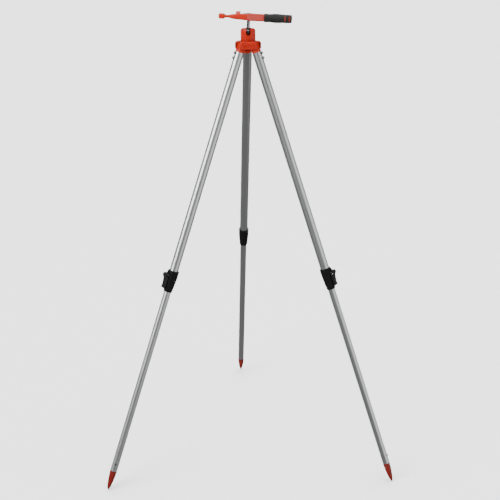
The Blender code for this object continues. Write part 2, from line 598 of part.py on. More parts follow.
button_frame = frame("button_frame", body, moved((BUTTON_FROM + BUTTON_TO) / 2, 0, BUTTON_TOP))
button_half = (BUTTON_TO - BUTTON_FROM) / 2
button_shape = box((-button_half, button_half), (-BUTTON_HALF, BUTTON_HALF), (BUTTON_FOOT - BUTTON_TOP, 0))
power_button = solid("power_button", button_shape, button_frame, BUTTON_RED)
rounded(power_button, 1.2, 3)

grip_bore = SLEEVE_RADIUS + GAP
grip = GRIP_RADIUS
grip_line = [(grip_bore, SHOULDER + 0.6), (grip, SHOULDER + 0.6), (grip + 0.1, 48), (grip - 0.4, 56)]
grip_line += [(grip + 0.6, 66), (grip + 1.2, 74), (grip + 0.8, 86), (grip + 0.2, 94)]
grip_line += [(grip, SLEEVE_END), (grip_bore, SLEEVE_END)]
rubber_grip = solid("rubber_grip", lathe(grip_line, ROUND, True), body, RUBBER, ALONG_X)
for label, start, end in BANDS:
    inner = BAND_OUTER - BAND_THICKNESS
    channel_line = ((inner - GAP, start - GAP), (BAND_OUTER + GAP, start - GAP))
    channel_line += ((BAND_OUTER + GAP, end + GAP), (inner - GAP, end + GAP))
    channel = solid(label + "_band_channel_tool", lathe(channel_line, ROUND, True), body, None, ALONG_X)
    combine(rubber_grip, channel)
    core = bar(BAND_OUTER, start - 3, end + 3, ROUND)
    core_tool = solid(label + "_band_core_tool", core, body, None, ALONG_X)
    for turn in (0, 180):
        opening = box((start, end), (BAND_OUTER - 4, grip + 6), (-BAND_WINDOW_HALF, BAND_WINDOW_HALF))
        opening_tool = solid(f"{label}_band_opening_tool_{turn}", opening, body, None, turned(turn, "X"))
        combine(opening_tool, core_tool)
        combine(rubber_grip, opening_tool)
    ring_line = ((inner, start), (BAND_OUTER, start), (BAND_OUTER, end), (inner, end))
    solid(f"grip_band_{label}", lathe(ring_line, ROUND, True), body, BAND_RED, ALONG_X)

cap_plug = plug_bore - GAP
end_line = ((0, battery_end + 2), (cap_plug, battery_end + 2), (cap_plug, SLEEVE_END + GAP))
end_line += ((grip - 0.3, SLEEVE_END + GAP), (grip - 0.3, SLEEVE_END + 3), (grip - 1.5, SLEEVE_END + 4.2))
end_line += ((0, SLEEVE_END + 4.2),)
end_frame = frame("end_cap_frame", body, moved(SLEEVE_END, 0, 0))
solid("end_cap", lathe(end_line), end_frame, BLACK, moved(-SLEEVE_END, 0, 0) @ ALONG_X)
for label, start in (("front", BATTERY_START), ("rear", BATTERY_START + BATTERY_LENGTH + GAP)):
    cell = ((0, start), (1.9, start), (1.9, start + 0.8), (BATTERY_RADIUS, start + 0.8))
    cell += ((BATTERY_RADIUS, start + BATTERY_LENGTH), (0, start + BATTERY_LENGTH))
    solid(f"battery_{label}", lathe(cell, 18), body, SILVER, ALONG_X)
insert_line = ((STEM_TIP_RADIUS + GAP, 0.2 - BODY_HALF_HEIGHT), (INSERT_RADIUS, 0.2 - BODY_HALF_HEIGHT))
insert_line += ((INSERT_RADIUS, INSERT_TOP), (STEM_TIP_RADIUS + GAP, INSERT_TOP))
solid("mount_insert", lathe(insert_line, ROUND, True), body, BRASS)
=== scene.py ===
"""The finished look of the torpedo laser level on its ball-head tripod."""

import math

import bmesh
import bpy
from mathutils import Matrix, Vector
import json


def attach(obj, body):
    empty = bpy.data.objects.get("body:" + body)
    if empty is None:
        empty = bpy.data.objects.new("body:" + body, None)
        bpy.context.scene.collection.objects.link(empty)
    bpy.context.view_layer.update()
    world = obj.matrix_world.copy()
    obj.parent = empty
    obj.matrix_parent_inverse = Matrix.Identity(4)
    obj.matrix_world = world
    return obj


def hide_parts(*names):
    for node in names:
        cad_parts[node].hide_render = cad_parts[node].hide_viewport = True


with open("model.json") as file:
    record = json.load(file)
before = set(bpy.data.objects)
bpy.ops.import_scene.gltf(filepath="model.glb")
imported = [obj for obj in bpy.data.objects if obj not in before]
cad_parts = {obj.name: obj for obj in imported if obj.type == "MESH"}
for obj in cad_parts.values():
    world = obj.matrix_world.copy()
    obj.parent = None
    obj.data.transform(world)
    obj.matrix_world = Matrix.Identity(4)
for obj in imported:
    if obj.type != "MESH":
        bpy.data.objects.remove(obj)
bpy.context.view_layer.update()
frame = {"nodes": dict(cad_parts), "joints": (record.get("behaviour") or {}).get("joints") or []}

MM = 0.001
GAP = 0.3
JOINTS = {joint["name"]: joint for joint in frame["joints"]}
SIDES = ("left", "right", "rear")


# ------------------------------------------------------------------ materials
def surface(
    name,
    colour,
    rough,
    metallic=0.0,
    vary=0.08,
    rough_vary=0.06,
    scale=60.0,
    bump=0.0,
    bump_scale=900.0,
    grain=None,
    coat=0.0,
    specular=0.5,
    transmission=0.0,
):
    """A finish whose colour, roughness and relief wander over the piece. A grain runs along it."""
    made = bpy.data.materials.new(name)
    made.use_nodes = True
    made.diffuse_color = (*colour, 1)
    nodes = made.node_tree.nodes
    links = made.node_tree.links
    shader = nodes["Principled BSDF"]
    shader.inputs["Metallic"].default_value = metallic
    shader.inputs["Specular IOR Level"].default_value = specular
    shader.inputs["Coat Weight"].default_value = coat
    shader.inputs["Coat Roughness"].default_value = 0.12
    shader.inputs["Transmission Weight"].default_value = transmission
    if grain:
        place = nodes.new("ShaderNodeAttribute")
        place.attribute_name = "place"
        start = place.outputs["Vector"]
    else:
        start = nodes.new("ShaderNodeTexCoord").outputs["Object"]
    mapping = nodes.new("ShaderNodeMapping")
    mapping.inputs["Scale"].default_value = grain or (1, 1, 1)
    links.new(start, mapping.inputs["Vector"])
    broad = nodes.new("ShaderNodeTexNoise")
    broad.inputs["Scale"].default_value = scale
    broad.inputs["Detail"].default_value = 4.0
    links.new(mapping.outputs["Vector"], broad.inputs["Vector"])
    mix = nodes.new("ShaderNodeMix")
    mix.data_type = "RGBA"
    mix.inputs[6].default_value = (*[max(0.0, c * (1 - vary)) for c in colour], 1)
    mix.inputs[7].default_value = (*[min(1.0, c * (1 + vary)) for c in colour], 1)
    links.new(broad.outputs["Fac"], mix.inputs[0])
    links.new(mix.outputs[2], shader.inputs["Base Color"])
    fine = nodes.new("ShaderNodeTexNoise")
    fine.inputs["Scale"].default_value = bump_scale
    fine.inputs["Detail"].default_value = 3.0
    links.new(mapping.outputs["Vector"], fine.inputs["Vector"])
    spread = nodes.new("ShaderNodeMapRange")
    spread.inputs["To Min"].default_value = max(0.02, rough - rough_vary)
    spread.inputs["To Max"].default_value = min(1.0, rough + rough_vary)
    links.new(fine.outputs["Fac"], spread.inputs["Value"])
    links.new(spread.outputs["Result"], shader.inputs["Roughness"])
    if bump:
        relief = nodes.new("ShaderNodeBump")
        relief.inputs["Strength"].default_value = 0.6
        relief.inputs["Distance"].default_value = bump
        links.new(fine.outputs["Fac"], relief.inputs["Height"])
        links.new(relief.outputs["Normal"], shader.inputs["Normal"])
    return made


ORANGE = surface(
    "orange_moulding", (0.27, 0.010, 0.001), 0.34, bump=0.00003, bump_scale=1500,
    specular=0.14,
)
HEAD_ORANGE = surface(
    "head_orange", (0.235, 0.008, 0.001), 0.42, vary=0.12, bump=0.00006, bump_scale=1100,
    specular=0.10,
)
DOME_ORANGE = surface(
    "dome_orange", (0.225, 0.006, 0.0008), 0.30, vary=0.10, bump=0.00004, bump_scale=1200,
    specular=0.13,
)
FOOT_ORANGE = surface(
    "foot_orange", (0.085, 0.0025, 0.0006), 0.34, vary=0.16, scale=90, bump=0.00004,
    specular=0.2,
)
TUBE = surface(
    "satin_tube", (0.34, 0.345, 0.35), 0.34, 1.0, 0.07, 0.06, 260, 0.000006, 2600,
    grain=(1, 1, 0.012),
)
LOCK = surface(
    "lock_moulding", (0.003, 0.003, 0.003), 0.5, vary=0.2, bump=0.00003, bump_scale=2200,
    specular=0.06,
)
LEVER = surface(
    "lever_moulding", (0.004, 0.004, 0.004), 0.40, vary=0.2, bump=0.00002, bump_scale=2500,
    specular=0.14,
)
BALL = surface("dark_chrome", (0.09, 0.09, 0.095), 0.14, 1.0, 0.03, 0.03, 200)
CHROME = surface("polished_chrome", (0.26, 0.26, 0.27), 0.12, 1.0, 0.03, 0.03, 200)
STEEL = surface("zinc_steel", (0.10, 0.10, 0.105), 0.34, 1.0, 0.12, 0.1, 300, 0.00001, 2500)
BRASS = surface("turned_brass", (0.40, 0.25, 0.08), 0.28, 1.0, 0.06, 0.06, 300)
RUBBER = surface(
    "grip_rubber", (0.009, 0.0095, 0.0085), 0.62, vary=0.2, bump=0.00005, bump_scale=3000,
    specular=0.16,
)
BAND = surface(
    "band_rubber", (0.13, 0.013, 0.006), 0.48, vary=0.15, bump=0.00002, bump_scale=2500,
    specular=0.2,
)
END = surface(
    "end_moulding", (0.008, 0.0075, 0.008), 0.45, vary=0.2, bump=0.00002, bump_scale=2500,
    specular=0.2,
)
SILVER = surface(
    "satin_strip", (0.34, 0.33, 0.32), 0.34, 0.9, 0.06, 0.08, 260, 0.000006, 2600,
    grain=(0.04, 1, 1),
)
BUTTON = surface(
    "button_rubber", (0.34, 0.035, 0.022), 0.5, vary=0.1, bump=0.00003, bump_scale=2600,
    specular=0.3,
)
PANEL = surface(
    "label_plate", (0.26, 0.028, 0.022), 0.34, vary=0.08, rough_vary=0.04, scale=120,
    specular=0.26,
)
GLASS = surface("lens_glass", (0.9, 0.92, 0.95), 0.04, vary=0.02, rough_vary=0.02, transmission=0.9)
VIAL = surface("vial_glass", (0.66, 0.92, 0.25), 0.06, vary=0.05, rough_vary=0.02, transmission=0.75)
LINE = surface("vial_line", (0.03, 0.03, 0.03), 0.5, vary=0.2)
WHITE = surface("acetal", (0.45, 0.45, 0.43), 0.45, vary=0.05, bump=0.00002)
BOARD = surface("board_laminate", (0.01, 0.12, 0.04), 0.45, vary=0.2, scale=600)
CELL = surface("cell_sleeve", (0.30, 0.30, 0.29), 0.3, 0.6, 0.1, 0.06, 90)


# ------------------------------------------------------------------- geometry
def lathe(profile, segments=72, ring=False):
    """Turns (radius, height) points about Z. A ring profile closes on itself instead of on the axis."""
    bm = bmesh.new()
    turns = []
    for radius, height in profile:
        if radius == 0:
            turns.append([bm.verts.new((0, 0, height))])
            continue
        angles = [2 * math.pi * i / segments for i in range(segments)]
        turns.append([bm.verts.new((radius * math.cos(a), radius * math.sin(a), height)) for a in angles])
    following = turns[1:] + turns[:1] if ring else turns[1:]
    for low, high in zip(turns, following):
        for i in range(segments):
            j = (i + 1) % segments
            corners = [low[i % len(low)], low[j % len(low)], high[j % len(high)], high[i % len(high)]]
            bm.faces.new(list(dict.fromkeys(corners)))
    return bm


def prism(outline, low, high, along="Z"):
    """Extrudes an outline: (x, y) along Z, or (x, z) along Y."""
    bm = bmesh.new()
    ends = []
    for level in (low, high):
        if along == "Z":
            ends.append([bm.verts.new((a, b, level)) for a, b in outline])
        else:
            ends.append([bm.verts.new((a, level, b)) for a, b in outline])
    count = len(outline)
    for i in range(count):
        j = (i + 1) % count
        bm.faces.new((ends[0][i], ends[0][j], ends[1][j], ends[1][i]))
    bm.faces.new(ends[0])
    bm.faces.new(ends[1])
    return bm


def box(x, y, z):
    return prism(((x[0], y[0]), (x[1], y[0]), (x[1], y[1]), (x[0], y[1])), z[0], z[1])


def loft(stations, segments=72):
    """Joins rings across X, each (x, half height, half width, squareness), and closes both ends."""
    bm = bmesh.new()
    turns = []
    for x, high, wide, power in stations:
        ring = []
        for i in range(segments):
            a = 2 * math.pi * (i + 0.5) / segments
            y = wide * math.copysign(abs(math.cos(a)) ** (2 / power), math.cos(a))
            z = high * math.copysign(abs(math.sin(a)) ** (2 / power), math.sin(a))
            ring.append(bm.verts.new((x, y, z)))
        turns.append(ring)
    for low, far in zip(turns, turns[1:]):
        for i in range(segments):
            j = (i + 1) % segments
            bm.faces.new((low[i], low[j], far[j], far[i]))
    bm.faces.new(turns[0])
    bm.faces.new(turns[-1])
    return bm


def arc(centre, radius, start, end, steps):
    found = []
    for i in range(steps + 1):
        a = math.radians(start + (end - start) * i / steps)
        found.append((centre[0] + radius * math.cos(a), centre[1] + radius * math.sin(a)))
    return found


def flowing(points, steps=4, closed=False):
    """A smooth line through the points, each a tuple of numbers."""
    count = len(points)
    found = []
    for i in range(count if closed else count - 1):
        if closed:
            four = [points[(i + k) % count] for k in (-1, 0, 1, 2)]
        else:
            four = [points[min(max(i + k, 0), count - 1)] for k in (-1, 0, 1, 2)]
        for s in range(steps):
            t = s / steps
            spot = []
            for a, b, c, d in zip(*four):
                curve = (2 * a - 5 * b + 4 * c - d) * t * t + (3 * b - a - 3 * c + d) * t**3
                spot.append(0.5 * (2 * b + (c - a) * t + curve))
            found.append(tuple(spot))
    if not closed:
        found.append(tuple(points[-1]))
    return found


def bar(radius, low, high, segments=48):
    return lathe(((0, low), (radius, low), (radius, high), (0, high)), segments)


def placed(bm, matrix):
    bmesh.ops.transform(bm, matrix=matrix, verts=bm.verts)
    return bm


def turned(degrees, axis):
    return Matrix.Rotation(math.radians(degrees), 4, axis)


def moved(x, y, z):
    return Matrix.Translation((x, y, z))


ALONG_X = turned(90, "Y")
ALONG_Y = turned(-90, "X")


def helper(bm):
    bmesh.ops.recalc_face_normals(bm, faces=bm.faces)
    mesh = bpy.data.meshes.new("shape")
    bm.to_mesh(mesh)
    bm.free()
    made = bpy.data.objects.new("shape", mesh)
    bpy.context.scene.collection.objects.link(made)
    return made


def shaped(bm, *steps):
    """The mesh after each step: ("bevel", width, segments, angle), ("cut", bmesh) or ("add", bmesh)."""
    base = helper(bm)
    used = [base]
    for step in steps:
        if step[0] == "bevel":
            bevel = base.modifiers.new("bevel", "BEVEL")
            bevel.width = step[1]
            bevel.segments = step[2]
            bevel.limit_method = "ANGLE"
            bevel.angle_limit = math.radians(step[3] if len(step) > 3 else 32)
            bevel.use_clamp_overlap = True
            continue
        tool = helper(step[1])
        used.append(tool)
        join = base.modifiers.new(step[0], "BOOLEAN")
        join.operation = "DIFFERENCE" if step[0] == "cut" else "UNION"
        join.solver = "EXACT"
        join.object = tool
    bpy.context.view_layer.update()
    graph = bpy.context.evaluated_depsgraph_get()
    mesh = bpy.data.meshes.new_from_object(base.evaluated_get(graph))
    for done in used:
        bpy.data.objects.remove(done)
    return mesh


def piece(name, mesh, place, body, slot, finish, *stands_for, sharp=34):
    """Puts a mesh made in millimetres into the row frame, on its body."""
    if isinstance(mesh, bmesh.types.BMesh):
        mesh = shaped(mesh)
    mesh.transform(Matrix.Scale(MM, 4))
    own = mesh.attributes.new("place", "FLOAT_VECTOR", "POINT")
    own.data.foreach_set("vector", [number for vertex in mesh.vertices for number in vertex.co])
    mesh.transform(place)
    mesh.materials.clear()
    mesh.materials.append(finish)
    mesh.shade_smooth()
    mesh.set_sharp_from_angle(angle=math.radians(sharp))
    made = bpy.data.objects.new(name, mesh)
    bpy.context.scene.collection.objects.link(made)
    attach(made, body)
    if stands_for:
        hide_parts(*stands_for)
    return made


def on(place, local):
    """place, with a millimetre offset and turn inside it."""
    inner = local.copy()
    inner.translation = local.translation * MM
    return place @ inner


def axes(origin, x, y, z):
    made = Matrix((x, y, z)).transposed().to_4x4()
    made.translation = origin
    return made


def carry(node, finish):
    mesh = frame["nodes"][node].data
    mesh.materials.clear()
    mesh.materials.append(finish)


# --------------------------------------------------------- places, from joints
tilt = JOINTS["ball_tilt"]
swivel_axis = Vector(JOINTS["instrument_swivel"]["axis"]).normalized()
length_axis = Vector(JOINTS["end_cap_turn"]["axis"]).normalized()
ball = Vector(tilt["pos_m"])
stud_place = axes(ball, length_axis, swivel_axis.cross(length_axis), swivel_axis)
cap_joint = Vector(JOINTS["end_cap_turn"]["pos_m"])
SLEEVE_END = (cap_joint - ball).dot(length_axis) / MM
AXIS_HEIGHT = (cap_joint - ball).dot(swivel_axis) / MM
SHOULDER = SLEEVE_END - 72.5
body_place = on(stud_place, moved(0, 0, AXIS_HEIGHT))
pivot = Vector(JOINTS["rear_leg_fold"]["pos_m"])
BALL_HEIGHT = (ball.z - pivot.z) / MM
PIVOT_RADIUS = (pivot.y - ball.y) / MM
DOME_RADIUS = (Vector(JOINTS["clamp_turn"]["pos_m"]).y - ball.y) / MM
head_place = Matrix.Translation((ball.x, ball.y, pivot.z))
LEG_SPREAD = math.acos(Vector(JOINTS["rear_leg_slide"]["axis"]).normalized().z)


def leg_place(side):
    z = Vector(JOINTS[side + "_leg_slide"]["axis"]).normalized()
    y = Vector(JOINTS[side + "_leg_fold"]["axis"]).normalized()
    return axes(Vector(JOINTS[side + "_leg_fold"]["pos_m"]), y.cross(z), y, z)


UPPER_RADIUS = 12.5
LOWER_RADIUS = 10.0
TUBE_WALL = 1.2
UPPER_START = UPPER_RADIUS + 7.8
LOCK_START = 657.0
LOCK_LENGTH = 63.0
UPPER_END = 695.0
COLLAR_WALL = 3.6
LOWER_START = 592.0
LEG_LENGTH = 1346.0
FOOT_START = 1284.0
FOOT_PLUG_TOP = 33.0 - FOOT_START
FOOT_BOLT_AT = 24.0 - FOOT_START
SOCKET_BOLTS = (("upper", -24.5), ("lower", -38.5))
KNUCKLE_RADIUS = 8.4
KNUCKLE_HALF = 10.5
PIVOT_HOLE = 3.3
LEVER_PIN_RADIUS = 1.5
LEVER_PIN_HOLE = LEVER_PIN_RADIUS + GAP
LEVER_PIN_HALF = 7.3
LEVER_HALF = 8.0
EAR_RADIUS = 5.4
EAR_INNER = 4.1
EAR_OUTER = 7.1

LEG_AZIMUTHS = (90, 210, 330)
HALF_LUG = 15.0
LUG_ROUND = 8.0
HEAD_END = PIVOT_RADIUS + 13.5
HEAD_TOP = 11.6
HEAD_BOTTOM = -9.0
GROOVES = ((-4.2, -1.8), (1.6, 2.6))
BALL_RADIUS = 11.0
STEM_RADIUS = 4.8
STEM_TIP_RADIUS = 2.7
DOME_ROUND = 7.4
NOTCH_HALF = 6.0
MOUTH = 8.0

CASING_HIGH = 9.6
CASING_WIDE = 9.0
SLEEVE_RADIUS = 7.8
PLUG_BORE = 6.3
BUTTON_AT = -29.15
BUTTON_TOP = 14.6
VIAL_AT = 6.2
GRIP_RADIUS = 11.2
BAND_INNER = 9.9
BAND_OUTER = 10.5
BANDS = (("front", 96.2, 100.6), ("rear", 108.4, 113.0))


# ----------------------------------------------------------------------- bolts
def screw(node, place, body, surface_at, radius, height, shank, drive):
    """A domed head on its washer, with a hex socket or a cross in it."""
    base = surface_at + GAP
    washer = min(0.7, height * 0.25)
    line = [(0, 4), (shank, 4), (shank, base), (radius, base), (radius, base + washer)]
    line += [(radius * 0.9, base + washer), (radius * 0.9, base + height * 0.6)]
    line += arc((radius * 0.9 - height * 0.4, base + height * 0.6), height * 0.4, 0, 90, 5)
    line += [(0, base + height)]
    top = base + height + 1
    low = base + height * 0.45
    if drive == "hex":
        sunk = [("cut", prism(arc((0, 0), radius * 0.46, 0, 300, 5), low, top))]
    else:
        wide = radius * 0.62
        thin = radius * 0.13
        sunk = [("cut", box((-wide, wide), (-thin, thin), (low, top)))]
        sunk += [("cut", box((-thin, thin), (-wide, wide), (low, top)))]
    piece(node + "_head", shaped(lathe(line, 48), *sunk), place, body, "steel", STEEL, node, sharp=40)


# ------------------------------------------------------------------------ head
def build_head():
    plan = []
    for azimuth in LEG_AZIMUTHS:
        out = Vector((math.cos(math.radians(azimuth)), math.sin(math.radians(azimuth))))
        side = Vector((-out.y, out.x))
        plan.append(tuple(out * HEAD_END - side * HALF_LUG))
        plan.append(tuple(out * HEAD_END + side * HALF_LUG))
    centre = 0.1 - LUG_ROUND
    lug = arc((HEAD_END + centre, HEAD_TOP + centre), LUG_ROUND, -5, 95, 16)
    lug += [(lug[-1][0], HEAD_TOP + 5), (HEAD_END + 5, HEAD_TOP + 5), (HEAD_END + 5, lug[0][1])]
    steps = [("cut", placed(prism(lug, -22, 22, "Y"), turned(azimuth, "Z"))) for azimuth in LEG_AZIMUTHS]
    steps.append(("bevel", 2.4, 4))
    steps.append(("add", lathe(((0, 8), (22.5, 8), (22.5, HEAD_TOP + 0.02), (0, HEAD_TOP + 0.02)), 96)))
    steps.append(("add", bar(BALL_RADIUS, 8, HEAD_TOP + 5, 96)))
    face = HEAD_END / 2 + HALF_LUG * math.sin(math.radians(60))
    half = HEAD_END * math.sin(math.radians(60)) - HALF_LUG / 2 - 3.5
    inner = PIVOT_RADIUS - KNUCKLE_RADIUS - 0.5
    below = HEAD_BOTTOM - 5
    for azimuth in LEG_AZIMUTHS:
        spin = turned(azimuth, "Z")
        slot_box = box((inner, 60), (-KNUCKLE_HALF - GAP, KNUCKLE_HALF + GAP), (below, KNUCKLE_RADIUS + GAP))
        steps.append(("cut", placed(slot_box, spin)))
        line = arc((PIVOT_RADIUS, 0), PIVOT_HOLE, 0, 180, 16)
        line += [(PIVOT_RADIUS - PIVOT_HOLE, below), (PIVOT_RADIUS + PIVOT_HOLE, below)]
        steps.append(("cut", placed(prism(line, GAP - HALF_LUG, HALF_LUG - GAP, "Y"), spin)))
        back = turned(azimuth + 180, "Z")
        for low, high in GROOVES:
            steps.append(("cut", placed(box((face - 1.0, face + 5), (-half, half), (low, high)), back)))
    steps.append(("cut", bar(5.0, below, HEAD_TOP - 5)))
    mesh = shaped(prism(plan, HEAD_BOTTOM, HEAD_TOP), *steps)
    piece("head_casting", mesh, head_place, "head", "orange", HEAD_ORANGE, "tripod_head", sharp=30)


def build_dome():
    bore = BALL_RADIUS + GAP
    radius = DOME_RADIUS
    base = HEAD_TOP + GAP
    top = BALL_HEIGHT + 12.7
    line = [(bore, base), (radius - 0.4, base), (radius, base + 0.4), (radius, base + 2.6)]
    line += [(radius - 0.5, base + 3.1), (radius - 0.5, base + 3.9), (radius, base + 4.4)]
    line.append((radius, top - DOME_ROUND))
    line += arc((radius - DOME_ROUND, top - DOME_ROUND), DOME_ROUND, 6, 90, 14)
    line += arc((MOUTH + 0.8, top - 0.8), 0.8, 90, 180, 4)
    opening = math.degrees(math.acos(MOUTH / bore))
    line += arc((0, BALL_HEIGHT), bore, opening, 0, 12)
    steps = []
    for half, inside in ((NOTCH_HALF, 0), (NOTCH_HALF + 0.8, 0.7 - radius)):
        notch = arc((0, BALL_HEIGHT), half, 180, 360, 24) + [(half, top + 9), (-half, top + 9)]
        steps.append(("cut", prism(notch, -40, inside, "Y")))
    steps.append(("cut", placed(bar(PIVOT_HOLE, 3, 30), moved(0, 0, BALL_HEIGHT) @ ALONG_Y)))
    mesh = shaped(lathe(line, 128, True), *steps)
    piece("dome", mesh, head_place, "head", "orange", DOME_ORANGE, "ball_housing", sharp=30)


def build_ball():
    meets = math.degrees(math.acos(STEM_RADIUS / BALL_RADIUS))
    flat = BALL_RADIUS * math.sin(math.radians(meets))
    line = [(0, -BALL_RADIUS)] + arc((0, 0), BALL_RADIUS, -86, meets, 28) + [(3.5, flat), (3.5, -4), (0, -4)]
    piece("ball_round", lathe(line, 96), stud_place, "ball_stud", "lever", BALL, "ball", sharp=30)


def build_stem():
    stem = STEM_RADIUS
    flat = BALL_RADIUS * math.sin(math.acos(stem / BALL_RADIUS))
    top = AXIS_HEIGHT - CASING_HIGH - GAP
    tip = AXIS_HEIGHT - 4.8
    line = [(0, -3.7), (3.2, -3.7), (3.2, flat + GAP), (stem - 0.3, flat + GAP), (stem, flat + GAP + 0.3)]
    line += [(stem, top - 3.6), (stem - 0.5, top - 3.2), (stem - 0.5, top - 2.6)]
    line += [(stem, top - 2.2), (stem, top - 0.4), (stem - 0.4, top), (STEM_TIP_RADIUS, top)]
    line += [(STEM_TIP_RADIUS, tip - 0.6), (STEM_TIP_RADIUS - 0.6, tip), (0, tip)]
    piece("stem", lathe(line, 96), stud_place, "ball_stud", "chrome", CHROME, "ball_stem", sharp=30)


def build_knob():
    origin = Vector(JOINTS["clamp_turn"]["pos_m"])
    knob_place = axes(origin, Vector((1, 0, 0)), Vector((0, 0, -1)), Vector((0, 1, 0)))
    lobes = []
    for i in range(144):
        reach = 10.4 + 0.9 * math.cos(math.radians(15 * i))
        lobes.append((reach * math.cos(math.radians(2.5 * i)), reach * math.sin(math.radians(2.5 * i))))
    screw_tip = BALL_RADIUS + 0.4 - DOME_RADIUS
    steps = [("bevel", 1.3, 4), ("add", bar(3.0, screw_tip, 8)), ("add", bar(6.0, 1.2, 8))]
    steps.append(("cut", lathe(((0, 13.1), (6.6, 13.1), (7.6, 15), (0, 15)), 64)))
    mesh = shaped(prism(lobes, 4, 14), *steps)
    piece("knob", mesh, knob_place, "clamp_knob", "lever", LEVER, "clamp_knob", sharp=40)


# ------------------------------------------------------------------------ legs
def build_socket(side, leg):
    plug = UPPER_RADIUS - TUBE_WALL - GAP
    start = UPPER_START - GAP
    line = [(0, -70), (plug - 1, -70), (plug, -69), (plug, -start), (UPPER_RADIUS - 0.3, -start)]
    line += [(UPPER_RADIUS, -start + 0.3), (UPPER_RADIUS, -15.2)]
    line += arc((UPPER_RADIUS - 1.5, -15.2), 1.5, 10, 90, 6) + [(0, -13.7)]
    c = math.cos(LEG_SPREAD)
    s = math.sin(LEG_SPREAD)
    shape = [(-KNUCKLE_RADIUS, -16)]
    shape += arc((0, 0), KNUCKLE_RADIUS, 180, 90 - math.degrees(LEG_SPREAD), 24)
    shape += [(KNUCKLE_RADIUS * (c + s), KNUCKLE_RADIUS * (c - s))]
    shape += [(KNUCKLE_RADIUS * c, -KNUCKLE_RADIUS * s), (KNUCKLE_RADIUS, -16)]
    knuckle = prism(shape, -KNUCKLE_HALF, KNUCKLE_HALF, "Y")
    hole = placed(bar(PIVOT_HOLE, -20, 20), ALONG_Y)
    mesh = shaped(knuckle, ("bevel", 0.8, 3, 40), ("add", lathe(line, 72)), ("cut", hole))
    piece(side + "_socket", mesh, leg, side + "_upper_leg", "orange", ORANGE, side + "_leg_socket", sharp=32)


def build_tubes(side, leg):
    bore = UPPER_RADIUS - TUBE_WALL
    line = [(bore, -UPPER_START), (UPPER_RADIUS - 0.25, -UPPER_START), (UPPER_RADIUS, -UPPER_START - 0.25)]
    line += [(UPPER_RADIUS, -UPPER_END + 0.2), (UPPER_RADIUS - 0.2, -UPPER_END), (bore, -UPPER_END)]
    mesh = lathe(line, 96, True)
    piece(side + "_outer_tube", mesh, leg, side + "_upper_leg", "tube", TUBE, side + "_upper_tube", sharp=40)
    bore = LOWER_RADIUS - TUBE_WALL
    line = [(bore, -LOWER_START), (LOWER_RADIUS, -LOWER_START), (LOWER_RADIUS, -FOOT_START + 0.2)]
    line += [(LOWER_RADIUS - 0.2, -FOOT_START), (bore, -FOOT_START)]
    mesh = lathe(line, 96, True)
    piece(side + "_inner_tube", mesh, leg, side + "_lower_leg", "tube", TUBE, side + "_lower_tube", sharp=40)


def build_foot(side, leg):
    reach = LOWER_RADIUS + GAP
    length = LEG_LENGTH - FOOT_START
    stations = [(0.0, 0.0), (0.14, 0.012), (0.33, 0.09), (0.53, 0.21)]
    stations += [(0.74, 0.42), (0.89, 0.63), (0.97, 0.82), (0.985, 0.9)]
    line = [(0, -LEG_LENGTH)]
    for share, along in flowing(stations, 4)[1:]:
        line.append((reach * share, along * length - LEG_LENGTH))
    line += [(reach * 0.955, 0.905 * length - LEG_LENGTH), (reach * 0.955, 0.925 * length - LEG_LENGTH)]
    line += [(reach - 0.2, 0.93 * length - LEG_LENGTH), (reach, 0.945 * length - LEG_LENGTH)]
    line += [(reach, -FOOT_START - 0.7), (reach - 0.35, -FOOT_START - GAP)]
    plug = LOWER_RADIUS - TUBE_WALL - GAP
    line += [(plug, -FOOT_START - GAP), (plug, FOOT_PLUG_TOP), (0, FOOT_PLUG_TOP)]
    node = side + "_foot_point"
    mesh = lathe(line, 72)
    piece(side + "_point", mesh, leg, side + "_lower_leg", "foot_orange", FOOT_ORANGE, node, sharp=30)


